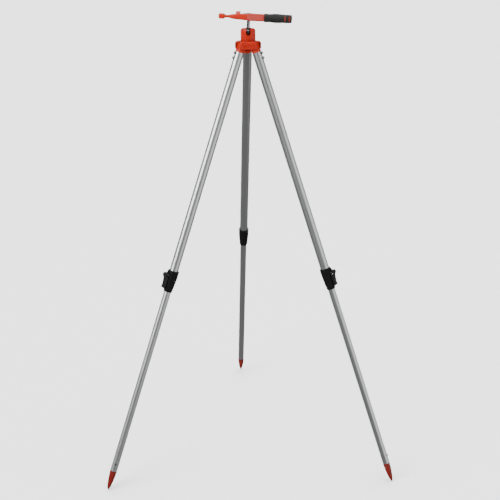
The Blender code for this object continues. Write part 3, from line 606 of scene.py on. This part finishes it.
def build_collar(side, leg, pin_x, pin_z):
    wall = UPPER_RADIUS + COLLAR_WALL
    start = -LOCK_START
    outer = [(wall - 0.7, 0), (wall - 0.2, 0.3), (wall, 1.0), (wall, 4.2)]
    outer += [(wall - 0.5, 4.8), (wall - 0.5, 5.6), (wall - 0.2, 6.2), (wall - 0.4, 9)]
    outer += [(wall - 0.8, 18), (wall - 1.2, 30), (wall - 1.8, 39)]
    outer += [(LOWER_RADIUS + 3.6, 49), (LOWER_RADIUS + 3.1, 52.4), (LOWER_RADIUS + 2.5, 53)]
    outer += [(LOWER_RADIUS + 2.5, 54), (LOWER_RADIUS + 2.9, 54.6), (LOWER_RADIUS + 2.6, 61)]
    outer += [(LOWER_RADIUS + 2.0, 62.6), (LOWER_RADIUS + 1.4, LOCK_LENGTH)]
    line = [(radius, start - down) for radius, down in outer]
    line += [(LOWER_RADIUS + GAP, start - LOCK_LENGTH), (LOWER_RADIUS + GAP, -UPPER_END - GAP)]
    line += [(UPPER_RADIUS + GAP, -UPPER_END - GAP), (UPPER_RADIUS + GAP, start)]
    ear = [(UPPER_RADIUS + 0.4, pin_z + 12), (wall - 0.2, pin_z + 10.5)]
    ear += arc((pin_x, pin_z), EAR_RADIUS, 115, -115, 28) + [(UPPER_RADIUS + 0.4, pin_z - 10)]
    steps = []
    for low, high in ((EAR_INNER, EAR_OUTER), (-EAR_OUTER, -EAR_INNER)):
        steps.append(("add", prism(ear, low, high, "Y")))
    rib = [(wall - 2.6, start - 10), (wall - 0.1, start - 10), (wall - 1.1, start - 34)]
    rib.append((LOWER_RADIUS + 2.0, start - 48))
    for turn in range(60, 301, 30):
        steps.append(("add", placed(prism(rib, -0.7, 0.7, "Y"), turned(turn, "Z"))))
    window_half = EAR_INNER - 0.5
    window = box((UPPER_RADIUS - 4, pin_x), (-window_half, window_half), (pin_z - 7, pin_z + 7))
    hole = placed(bar(LEVER_PIN_HOLE, -20, 20, 24), moved(pin_x, 0, pin_z) @ ALONG_Y)
    steps += [("cut", window), ("cut", hole)]
    mesh = shaped(lathe(line, 72, True), *steps)
    piece(side + "_collar", mesh, leg, side + "_upper_leg", "lock", LOCK, side + "_lock_collar", sharp=30)


def build_lever(side, lever_place):
    half = LEVER_PIN_HALF
    radius = LEVER_PIN_RADIUS
    pin = [(0, -half), (radius - 0.3, -half), (radius, 0.3 - half), (radius, half - 0.3)]
    pin += [(radius - 0.3, half), (0, half)]
    pin_place = on(lever_place, ALONG_Y)
    mesh = lathe(pin, 32)
    node = side + "_lever_pin"
    piece(side + "_pin", mesh, pin_place, side + "_upper_leg", "steel", STEEL, node, sharp=40)

    hood = [(4.4, 5.0), (7.0, 3.4), (8.8, 0.4), (9.3, -3.0), (8.8, -4.4), (6.2, -7.5), (4.0, -12), (2.8, -20)]
    hood += [(2.0, -28), (2.0, -34), (3.0, -38), (2.4, -39.6), (0.2, -39.4), (-1.9, -33), (-2.4, -26)]
    hood += [(-2.3, -18), (-2.1, -9.4), (-0.5, -7.4), (3.0, -5.4), (5.1, -2.8), (5.9, 0.4), (4.1, 4.3)]
    cam = arc((0, 0), 3.7, 90, 270, 20) + [(6.2, -4.4), (6.8, 1.8)]
    cam_half = EAR_INNER - GAP
    steps = [("bevel", 0.9, 3, 50), ("add", prism(cam, -cam_half, cam_half, "Y"))]
    steps.append(("cut", placed(bar(LEVER_PIN_HOLE, -20, 20, 24), ALONG_Y)))
    for x, z in ((3.35, -18), (2.95, -21), (2.65, -24), (2.35, -27)):
        steps.append(("cut", placed(bar(0.75, -5.6, 5.6, 16), moved(x, 0, z) @ ALONG_Y)))
    mesh = shaped(prism(flowing(hood, 4, True), -LEVER_HALF, LEVER_HALF, "Y"), *steps)
    node = side + "_lock_lever"
    piece(side + "_lever_arm", mesh, lever_place, side + "_lever", "lever", LEVER, node, sharp=35)


def build_lock(side, leg):
    pin = leg.inverted() @ Vector(JOINTS[side + "_lever_swing"]["pos_m"]) / MM
    build_collar(side, leg, pin.x, pin.z)
    build_lever(side, on(leg, moved(pin.x, 0, pin.z)))


def build_leg(side):
    leg = leg_place(side)
    build_socket(side, leg)
    build_tubes(side, leg)
    build_foot(side, leg)
    build_lock(side, leg)
    for label, height in SOCKET_BOLTS:
        place = on(leg, moved(0, 0, height) @ ALONG_X)
        screw(f"{side}_socket_bolt_{label}", place, side + "_upper_leg", UPPER_RADIUS, 3.8, 4.6, 2.0, "hex")
    turn = 60.0 if side == "left" else 0.0
    place = on(leg, moved(0, 0, FOOT_BOLT_AT) @ turned(turn, "Z") @ ALONG_X)
    screw(side + "_foot_bolt", place, side + "_lower_leg", LOWER_RADIUS, 3.2, 2.2, 1.6, "cross")


# ------------------------------------------------------------------ instrument
def build_casing():
    high = CASING_HIGH
    wide = CASING_WIDE
    nose = [(-63.5, 3.4, 3.4, 2), (-58, 3.7, 3.7, 2), (-53, 4.3, 4.3, 2), (-48, 5.4, 5.3, 2)]
    nose += [(-41.5, 6.9, 6.7, 2.1), (-30, 7.7, 7.4, 2.2), (-15, 8.3, 8.2, 2.6)]
    nose += [(-6, 9.0, 8.9, 3.8), (1, 9.5, wide, 4), (8, high, wide, 4)]
    stations = [(-71.3, 3.4, 3.4, 2), (-64.5, 3.4, 3.4, 2)] + flowing(nose, 4)
    stations += [(SHOULDER - 0.8, high, wide, 4), (SHOULDER - 0.2, high - 0.2, wide - 0.2, 4)]
    stations += [(SHOULDER, high - 0.6, wide - 0.6, 4), (SHOULDER + 0.05, SLEEVE_RADIUS, SLEEVE_RADIUS, 2)]
    stations += [(SLEEVE_END, SLEEVE_RADIUS, SLEEVE_RADIUS, 2)]
    room = [(0, -75), (1.3, -75), (1.3, -41.5), (4.9, -41), (4.9, -16), (5.6, -15.5), (5.6, -4.5), (6.6, -4)]
    room += [(6.6, 14.9), (5.6, 15.4), (5.6, 105.4), (PLUG_BORE, 105.7), (PLUG_BORE, SLEEVE_END + 5)]
    room += [(0, SLEEVE_END + 5)]
    recess = ((-21.9, 6.2), (-15, 6.4), (-2, 8.1), (39.1, 8.1), (39.1, 18.6), (-21.9, 18.6))
    for label, low, far in (("front", -0.06, 30), ("rear", -30, 0.06)):
        steps = [("cut", box((-90, 140), (low, far), (-30, 30))), ("cut", prism(recess, -4.3, 4.3, "Y"))]
        steps.append(("cut", box((BUTTON_AT - 6.55, BUTTON_AT + 6.55), (-3.5, 3.5), (2.9, 22.6))))
        steps.append(("cut", placed(lathe(room, 48), ALONG_X)))
        steps.append(("cut", box((-4.4, 16.4), (-2.4, 2.4), (4, 14.6))))
        steps.append(("cut", bar(4.3, -14.6, -4, 48)))
        if label == "front":
            steps.append(("cut", box((-5.8, 40.1), (-14, 1.4 - wide), (-6.9, 6.9))))
        mesh = shaped(loft(stations, 96), *steps)
        node = f"casing_{label}_half"
        piece(f"{label}_shell", mesh, body_place, "instrument", "instrument_orange", ORANGE, node, sharp=32)


def build_nose():
    cap = [(3.7, -64), (5.2, -64.5), (6.6, -66.6), (7.25, -70)]
    cap = flowing(cap + [(7.4, -74), (7.2, -78), (6.5, -81), (5.5, -82.2)], 4)
    cap += [(5.2, -82.4), (4.5, -82.4), (4.2, -82.1), (4.2, -79.7), (1.5, -79.7), (1.5, -71.6), (3.7, -71.6)]
    mesh = shaped(placed(lathe(cap, 72, True), ALONG_X))
    piece("nose_cap", mesh, body_place, "instrument", "instrument_orange", ORANGE, "aperture_cap", sharp=35)
    lens = [(0, -81.9)]
    for share in (0.25, 0.5, 0.75, 1):
        lens.append((3.9 * share, -81.9 + 0.8 * share * share))
    lens += [(3.9, -80.0), (0, -80.0)]
    mesh = shaped(placed(lathe(lens, 48), ALONG_X))
    piece("lens", mesh, body_place, "instrument", "lens", GLASS, "front_lens", sharp=35)


def build_top():
    """The pale strip with its low hump, and the bubble vial in its window."""
    hump = [(8, 10.2), (5, 10.9), (1, 11.3), (-4, 11.0), (-8, 10.3), (-12, 9.6), (-21, 8.6)]
    cover = [(-21.6, 6.5), (-15, 6.7), (-2, 8.4), (38.8, 8.4), (38.8, 9.7), (38.4, 10.1), (9, 10.1)]
    cover += flowing(hump, 4) + [(-21.6, 8.1)]
    steps = [("bevel", 0.35, 2, 50), ("cut", box((1, 13), (-1.7, 1.7), (0, 19)))]
    mesh = shaped(prism(cover, -4, 4, "Y"), *steps)
    piece("top_strip", mesh, body_place, "instrument", "silver", SILVER, "vial_cover", sharp=30)
    vial = [(0, -3)] + arc((0.3, -1.4), 1.6, -80, 0, 6) + arc((0.3, 13.8), 1.6, 0, 80, 6) + [(0, 15.4)]
    vial_place = on(body_place, moved(0, 0, VIAL_AT))
    mesh = shaped(placed(lathe(vial, 48), ALONG_X))
    piece("vial", mesh, vial_place, "instrument", "vial", VIAL, "bubble_vial", sharp=40)
    for at in (4.0, 10.0):
        ring = ((1.93, at - 0.15), (2.03, at - 0.15), (2.03, at + 0.15), (1.93, at + 0.15))
        mesh = shaped(placed(lathe(ring, 48, True), ALONG_X))
        piece(f"vial_line_{int(at)}", mesh, vial_place, "instrument", "rubber", LINE, sharp=40)


def build_panel():
    """A plate with a fine groove just inside its edge."""
    plate = [(-5.5, -6.6), (39.8, -6.6), (39.8, 6.6), (-5.5, 6.6)]
    steps = [("bevel", 0.45, 4, 40)]
    for low, high in ((-5.3, -5.0), (5.0, 5.3)):
        steps.append(("cut", box((-3.9, 38.2), (-12, -9.0), (low, high))))
    for low, high in ((-4.2, -3.9), (38.2, 38.5)):
        steps.append(("cut", box((low, high), (-12, -9.0), (-5.3, 5.3))))
    mesh = shaped(prism(plate, -9.15, -7.9, "Y"), *steps)
    piece("label_panel", mesh, body_place, "instrument", "panel", PANEL, "side_panel", sharp=35)


def build_button():
    ridges = [("bevel", 1.3, 5, 50)]
    for at in (-4.0, -2.0, 0.0, 2.0, 4.0):
        ridges.append(("cut", placed(bar(0.5, -2.2, 2.2, 16), moved(at, 0, 0.15) @ ALONG_Y)))
    button_place = on(body_place, moved(BUTTON_AT, 0, BUTTON_TOP))
    mesh = shaped(box((-6.25, 6.25), (-3.2, 3.2), (-10.0, 0)), *ridges)
    piece("button", mesh, button_place, "power_button", "button", BUTTON, "power_button", sharp=35)


def build_grip():
    """A swelling grip with fine grooves, and two bands seen through windows in its sides."""
    bore = SLEEVE_RADIUS + GAP
    rim = GRIP_RADIUS
    start = SHOULDER + 0.6
    line = [(bore, start), (rim - 0.3, start), (rim, start + 0.3)]
    line += flowing([(rim, start + 0.5), (rim + 0.1, 48), (rim - 0.1, 52), (rim - 0.4, 56)], 4)
    hump = [(rim - 0.4, 56), (rim, 61), (rim + 0.6, 66), (rim + 1.1, 71), (rim + 1.2, 76), (rim + 0.8, 86)]
    hump = flowing(hump + [(rim + 0.3, 92)], 12)
    for i, (radius, x) in enumerate(hump[1:]):
        line.append((radius - (0.35 if i % 3 == 1 else 0.0), x))
    line += [(rim + 0.2, 94), (rim + 0.1, 104)]
    line += [(rim, SLEEVE_END - 0.4), (rim - 0.4, SLEEVE_END), (bore, SLEEVE_END)]
    steps = []
    for label, low, high in BANDS:
        channel = [(BAND_INNER - GAP, low - GAP), (BAND_OUTER + GAP, low - GAP)]
        channel += [(BAND_OUTER + GAP, high + GAP), (BAND_INNER - GAP, high + GAP)]
        steps.append(("cut", placed(lathe(channel, 96, True), ALONG_X)))
        opening = ((low, -6.2), (low + 0.8, -7.0), (high - 0.8, -7.0), (high, -6.2))
        opening += ((high, 6.2), (high - 0.8, 7.0), (low + 0.8, 7.0), (low, 6.2))
        steps.append(("cut", prism(opening, 6, 16, "Y")))
        steps.append(("cut", prism(opening, -16, -6, "Y")))
    mesh = shaped(placed(lathe(line, 96, True), ALONG_X), *steps)
    piece("grip", mesh, body_place, "instrument", "rubber", RUBBER, "rubber_grip", sharp=50)
    for label, low, high in BANDS:
        edge = BAND_OUTER - 0.2
        line = [(BAND_INNER, low), (edge, low), (BAND_OUTER, low + 0.2)]
        line += [(BAND_OUTER, high - 0.2), (edge, high), (BAND_INNER, high)]
        mesh = shaped(placed(lathe(line, 96, True), ALONG_X))
        piece(f"{label}_band", mesh, body_place, "instrument", "band", BAND, f"grip_band_{label}", sharp=35)


def build_end():
    """The cap's plug, rim and coin slot."""
    start = SLEEVE_END + GAP
    plug = PLUG_BORE - GAP
    rim = GRIP_RADIUS - 0.3
    line = [(0, 106.5), (plug, 106.5), (plug, start)]
    line += [(rim - 0.3, start), (rim, start + 0.3), (rim, start + 2.2)]
    line += arc((rim - 1.5, start + 2.4), 1.5, 0, 90, 6) + [(0, start + 3.9)]
    coin_slot = box((start + 2.9, start + 9), (-0.9, 0.9), (-6.2, 6.2))
    mesh = shaped(placed(lathe(line, 72), ALONG_X), ("cut", coin_slot))
    piece("cap_end", mesh, body_place, "end_cap", "end_black", END, "end_cap", sharp=35)


def build_instrument():
    build_casing()
    build_nose()
    build_top()
    build_panel()
    build_button()
    build_grip()
    build_end()


build_head()
build_dome()
build_ball()
build_stem()
build_knob()
for side in SIDES:
    build_leg(side)
build_instrument()
for side in SIDES:
    carry(side + "_pivot_pin", STEEL)
    carry(side + "_slide_bush", LOCK)
carry("ball_seat", WHITE)
carry("laser_module", BRASS)
carry("mount_insert", BRASS)
carry("circuit_board", BOARD)
for place in ("front", "rear"):
    carry("battery_" + place, CELL)


# ----------------------------------------------------------------------- stage
FLOOR_REACH = 90.0
FLOOR_DROP = -0.0006
FLOOR_GLOW = 2.9


def stage_piece(name, bm, finish):
    """A piece of the set. It doesn't show in the object's reflections."""
    mesh = bpy.data.meshes.new(name)
    bm.to_mesh(mesh)
    bm.free()
    mesh.materials.append(finish)
    made = bpy.data.objects.new(name, mesh)
    made.visible_glossy = False
    bpy.context.scene.collection.objects.link(made)
    return made


def build_floor():
    bm = bmesh.new()
    reach = FLOOR_REACH
    corners = ((-reach, -reach), (reach, -reach), (reach, reach), (-reach, reach))
    bm.faces.new([bm.verts.new((x, y, FLOOR_DROP)) for x, y in corners])
    finish = surface("pale_floor", (0.86, 0.86, 0.86), 0.85, vary=0.004, rough_vary=0.02, scale=0.6)
    made = stage_piece("floor", bm, finish)


def build_backdrop():
    """A pale curtain all round, as bright as the lit floor. It neither lights nor shades the object."""
    bm = bmesh.new()
    rows = []
    for height in (-1.0, 70.0):
        rows.append([bm.verts.new((x, y, height)) for x, y in arc((0, 0), 84.0, 0, 345, 23)])
    for i in range(len(rows[0])):
        j = (i + 1) % len(rows[0])
        bm.faces.new((rows[0][i], rows[0][j], rows[1][j], rows[1][i]))
    finish = surface("pale_curtain", (0.02, 0.02, 0.02), 0.9, vary=0.02, scale=0.1, specular=0.0)
    shader = finish.node_tree.nodes["Principled BSDF"]
    shader.inputs["Emission Color"].default_value = (1, 1, 1, 1)
    shader.inputs["Emission Strength"].default_value = FLOOR_GLOW
    made = stage_piece("backdrop", bm, finish)
    made.visible_diffuse = False
    made.visible_shadow = False


def sun(name, strength, place, spread):
    """A broad lamp shining from the direction of place towards the origin. Its spread is in degrees."""
    data = bpy.data.lights.new(name, "SUN")
    data.energy = strength
    data.angle = math.radians(spread)
    made = bpy.data.objects.new(name, data)
    bpy.context.scene.collection.objects.link(made)
    made.location = place
    made.rotation_euler = (-Vector(place)).to_track_quat("-Z", "Y").to_euler()


def build_light():
    """One lamp overhead whitens the floor, one on each side models the shapes, and the room stays dimmer."""
    world = bpy.data.worlds.new("studio")
    bpy.context.scene.world = world
    world.use_nodes = True
    world.node_tree.nodes["Background"].inputs["Color"].default_value = (1, 1, 1, 1)
    world.node_tree.nodes["Background"].inputs["Strength"].default_value = 0.35
    sun("overhead", 6.0, (0.0, 0.6, 5.0), 70)
    sun("fill", 2.4, (4.6, -2.6, 0.7), 76)
    sun("key", 6.4, (-4.2, -2.9, 3.0), 46)


# The eye's place is in radii of the foot circle, from the middle of the head.
EYE_RIGHT = -0.23642
EYE_AHEAD = -4.66872
EYE_UP = 3.00207
YAW = 0.0538
PITCH = -0.34114
ROLL = 0.0032
SENSOR = 36.0
LENS = 58.363


def build_camera():
    """Stands where the feet, the locks and the legs fall as they do in the picture."""
    foot_circle = (LEG_LENGTH * math.sin(LEG_SPREAD) + PIVOT_RADIUS) * MM
    data = bpy.data.cameras.new("camera")
    data.sensor_width = SENSOR
    data.lens = LENS
    made = bpy.data.objects.new("camera", data)
    bpy.context.scene.collection.objects.link(made)
    forward = Vector((math.sin(YAW) * math.cos(PITCH), math.cos(YAW) * math.cos(PITCH), math.sin(PITCH)))
    flat = Vector((math.cos(YAW), -math.sin(YAW), 0))
    up = flat.cross(forward)
    right = flat * math.cos(ROLL) + up * math.sin(ROLL)
    top = up * math.cos(ROLL) - flat * math.sin(ROLL)
    eye = Vector((EYE_RIGHT * foot_circle, ball.y + EYE_AHEAD * foot_circle, EYE_UP * foot_circle))
    made.matrix_world = axes(eye, right, top, -forward)
    bpy.context.scene.camera = made


build_floor()
build_backdrop()
build_light()
build_camera()
